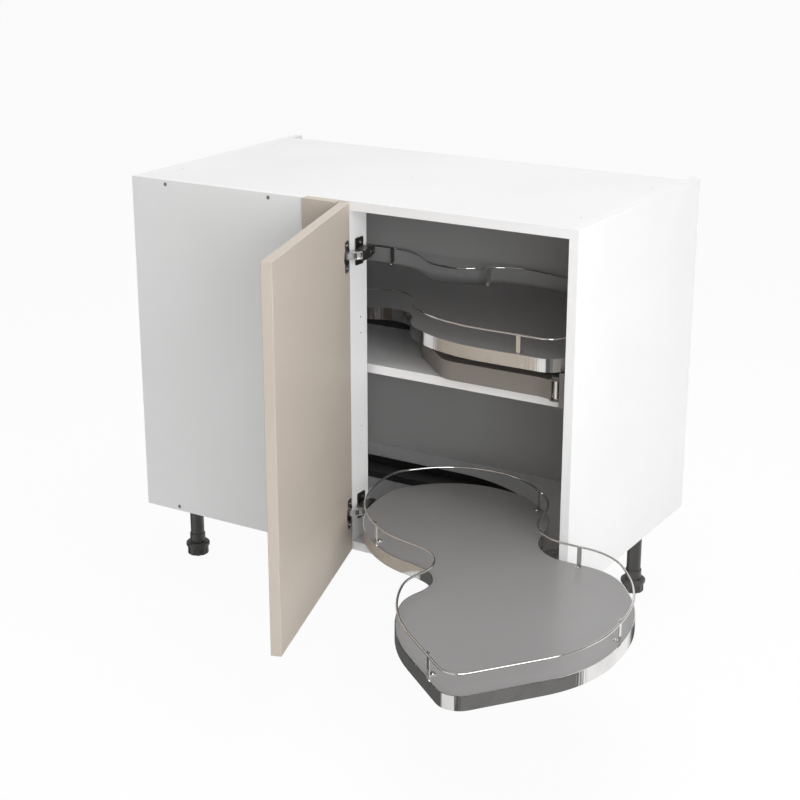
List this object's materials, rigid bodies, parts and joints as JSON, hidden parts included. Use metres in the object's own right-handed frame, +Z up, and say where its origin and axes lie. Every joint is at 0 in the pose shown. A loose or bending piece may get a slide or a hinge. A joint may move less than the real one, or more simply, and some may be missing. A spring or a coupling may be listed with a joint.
{
  "type": "blind corner base cabinet",
  "caption": "Blind corner base cabinet with a hinged door, a fixed shelf and kidney-shaped swing-out trays with chrome rails, standing on adjustable legs.",
  "frame": {"origin": "on the floor under the centre leg, midway along the front", "axes": "+X right along the front, +Y from the front into the corner, +Z up"},
  "size_m": [1.2457, 1.1735, 0.87],
  "materials": {
    "white_board": "satin melamine",
    "beige_front": "smooth matt foil",
    "steel_screw": "dark zinc",
    "zinc_stud": "bright zinc",
    "dark_plastic": "moulded",
    "hinge_nickel": "nickel plated",
    "dark_steel": "dark lacquer",
    "grey_steel": "powder coated",
    "grey_plastic": "moulded",
    "chrome": "polished",
    "grey_board": "satin melamine"
  },
  "bodies": {
    "carcass": {"left_side": "white_board", "right_side": "white_board", "bottom_panel": "white_board", "top_panel": "white_board", "back_panel": "white_board", "blind_panel": "white_board", "blind_panel_screws": "steel_screw", "corner_post": "beige_front", "hinge_panel": "white_board", "fixed_shelf": "white_board", "shelf_studs": "zinc_stud", "leg_sockets": "dark_plastic", "leg_tubes": "dark_plastic", "hinge_plate_screws": "steel_screw", "hinge_arm_screws": "hinge_nickel", "bracket_screws": "steel_screw", "lower_hinge_plate": "dark_steel", "lower_hinge_arm": "hinge_nickel", "lower_pivot_bracket": "grey_steel", "lower_pivot_pin": "chrome", "lower_pivot_cap": "grey_plastic", "lower_guide_channel": "dark_steel", "upper_hinge_plate": "dark_steel", "upper_hinge_arm": "hinge_nickel", "upper_pivot_bracket": "grey_steel", "upper_pivot_pin": "chrome", "upper_pivot_cap": "grey_plastic", "upper_guide_channel": "dark_steel"},
    "door": {"door": "beige_front", "hinge_cup_screws": "steel_screw", "lower_hinge_cup": "hinge_nickel", "upper_hinge_cup": "hinge_nickel"},
    "hinge_inner_links": {"lower_hinge_inner_link": "hinge_nickel", "upper_hinge_inner_link": "hinge_nickel"},
    "hinge_outer_links": {"lower_hinge_links": "hinge_nickel", "upper_hinge_links": "hinge_nickel"},
    "upper_arm": {"upper_arm": "grey_steel", "upper_arm_tube": "chrome"},
    "upper_tray": {"upper_tray_spindle": "dark_steel", "upper_tray_plate": "dark_steel", "upper_tray_board": "grey_board", "upper_tray_band": "chrome", "upper_rail": "chrome", "upper_rail_posts": "chrome", "upper_rail_screws": "steel_screw"},
    "lower_arm": {"lower_arm": "grey_steel", "lower_arm_tube": "chrome"},
    "lower_tray": {"lower_tray_spindle": "dark_steel", "lower_tray_plate": "dark_steel", "lower_tray_board": "grey_board", "lower_tray_band": "chrome", "lower_rail": "chrome", "lower_rail_posts": "chrome", "lower_rail_screws": "steel_screw"},
    "front_left_foot": {"front_left_foot": "dark_plastic"},
    "rear_left_foot": {"rear_left_foot": "dark_plastic"},
    "front_right_foot": {"front_right_foot": "dark_plastic"},
    "rear_right_foot": {"rear_right_foot": "dark_plastic"},
    "centre_foot": {"centre_foot": "dark_plastic"}
  },
  "joints": [
    {"name": "door_hinge", "type": "hinge", "parent": "hinge_inner_links", "child": "door", "pos_m": [0.0147, -0.27182, 0.51], "axis": [0, 0, -1], "range_deg": [-5, 48]},
    {"name": "inner_link_pivot", "type": "hinge", "parent": "carcass", "child": "hinge_inner_links", "pos_m": [0.0286, -0.2325, 0.51], "axis": [0, 0, -1], "range_deg": [-10.56, 1.1]},
    {"name": "outer_link_pivot", "type": "hinge", "parent": "carcass", "child": "hinge_outer_links", "pos_m": [0.0434, -0.2524, 0.51], "axis": [0, 0, -1], "range_deg": [-16.08, 1.68]},
    {"name": "upper_arm_pivot", "type": "hinge", "parent": "carcass", "child": "upper_arm", "pos_m": [0.435, -0.1895, 0.545], "axis": [0, 0, 1], "range_deg": [0, 24]},
    {"name": "upper_tray_pivot", "type": "hinge", "parent": "upper_arm", "child": "upper_tray", "pos_m": [0.09302, -0.0839, 0.545], "axis": [0, 0, 1], "range_deg": [-54, 0]},
    {"name": "lower_arm_pivot", "type": "hinge", "parent": "carcass", "child": "lower_arm", "pos_m": [0.435, -0.1895, 0.189], "axis": [0, 0, 1], "range_deg": [-24, 0]},
    {"name": "lower_tray_pivot", "type": "hinge", "parent": "lower_arm", "child": "lower_tray", "pos_m": [0.3904, -0.54462, 0.189], "axis": [0, 0, 1], "range_deg": [0, 2.4]},
    {"name": "front_left_foot_screw", "type": "slide", "parent": "carcass", "child": "front_left_foot", "axis": [0, 0, -1], "range_m": [0, 0.02]},
    {"name": "rear_left_foot_screw", "type": "slide", "parent": "carcass", "child": "rear_left_foot", "axis": [0, 0, -1], "range_m": [0, 0.02]},
    {"name": "front_right_foot_screw", "type": "slide", "parent": "carcass", "child": "front_right_foot", "axis": [0, 0, -1], "range_m": [0, 0.02]},
    {"name": "rear_right_foot_screw", "type": "slide", "parent": "carcass", "child": "rear_right_foot", "axis": [0, 0, -1], "range_m": [0, 0.02]},
    {"name": "centre_foot_screw", "type": "slide", "parent": "carcass", "child": "centre_foot", "axis": [0, 0, -1], "range_m": [0, 0.02]}
  ],
  "couplings": [
    {"joint": "inner_link_pivot", "follows": "door_hinge", "ratio": -0.22},
    {"joint": "outer_link_pivot", "follows": "door_hinge", "ratio": -0.335},
    {"joint": "upper_tray_pivot", "follows": "upper_arm_pivot", "ratio": -2.25},
    {"joint": "lower_tray_pivot", "follows": "lower_arm_pivot", "ratio": -0.1}
  ]
}
